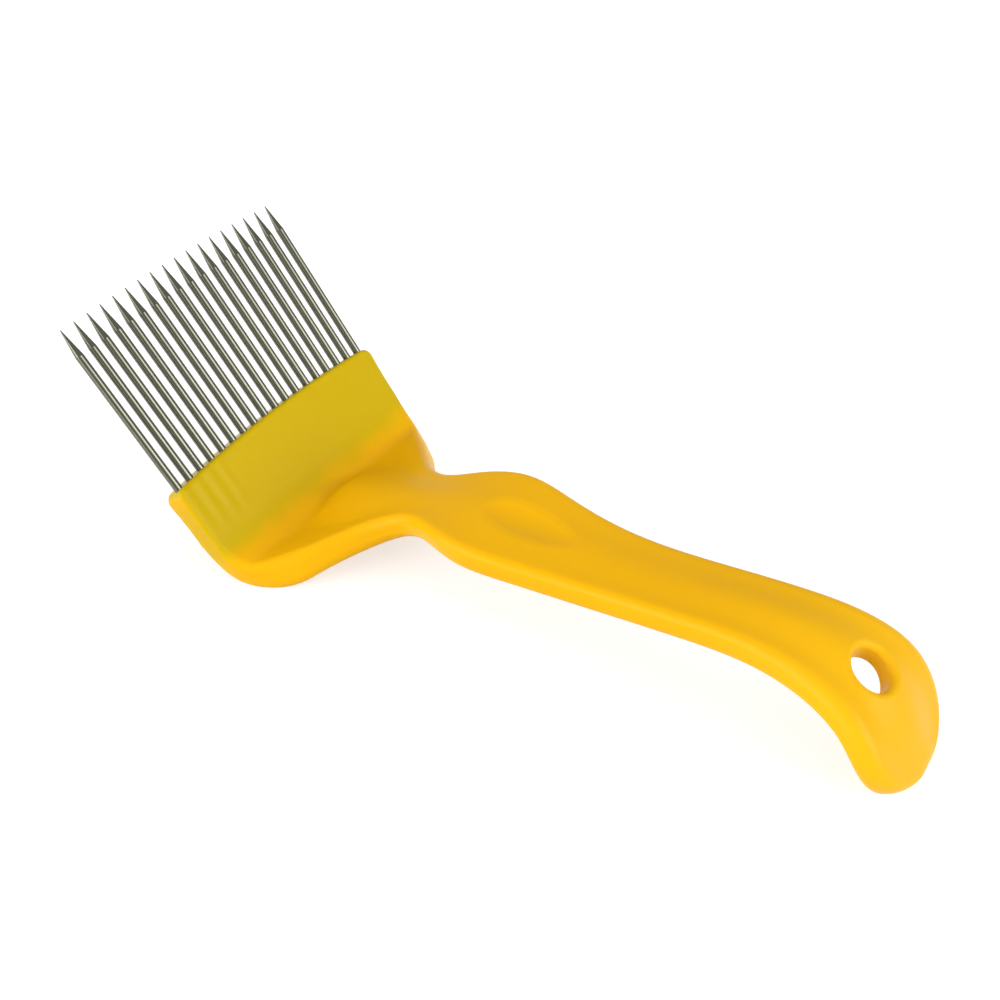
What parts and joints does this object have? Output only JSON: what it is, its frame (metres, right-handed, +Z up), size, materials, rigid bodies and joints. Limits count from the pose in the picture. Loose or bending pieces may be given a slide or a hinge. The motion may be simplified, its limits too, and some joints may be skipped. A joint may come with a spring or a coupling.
{
  "type": "uncapping fork",
  "caption": "Uncapping fork for honeycomb: a comb of pointed steel needles moulded into the upturned head of a waisted, cranked plastic handle with a thumb dimple and a hanging hole.",
  "frame": {"origin": "on the bench, under the middle of the tool's length and width, with the tool laid down on its heel and on the tip of its end lobe", "axes": "+X from the needles towards the end lobe, +Y across the tool, +Z up from the bench"},
  "size_m": [0.1878, 0.068, 0.0554],
  "materials": {
    "yellow_plastic": "smooth moulded, glossy",
    "needle_steel": "drawn wire, ground points"
  },
  "bodies": {
    "root": {"handle": "yellow_plastic", "needle_01": "needle_steel", "needle_02": "needle_steel", "needle_03": "needle_steel", "needle_04": "needle_steel", "needle_05": "needle_steel", "needle_06": "needle_steel", "needle_07": "needle_steel", "needle_08": "needle_steel", "needle_09": "needle_steel", "needle_10": "needle_steel", "needle_11": "needle_steel", "needle_12": "needle_steel", "needle_13": "needle_steel", "needle_14": "needle_steel", "needle_15": "needle_steel", "needle_16": "needle_steel", "needle_17": "needle_steel", "needle_18": "needle_steel"}
  },
  "joints": []
}
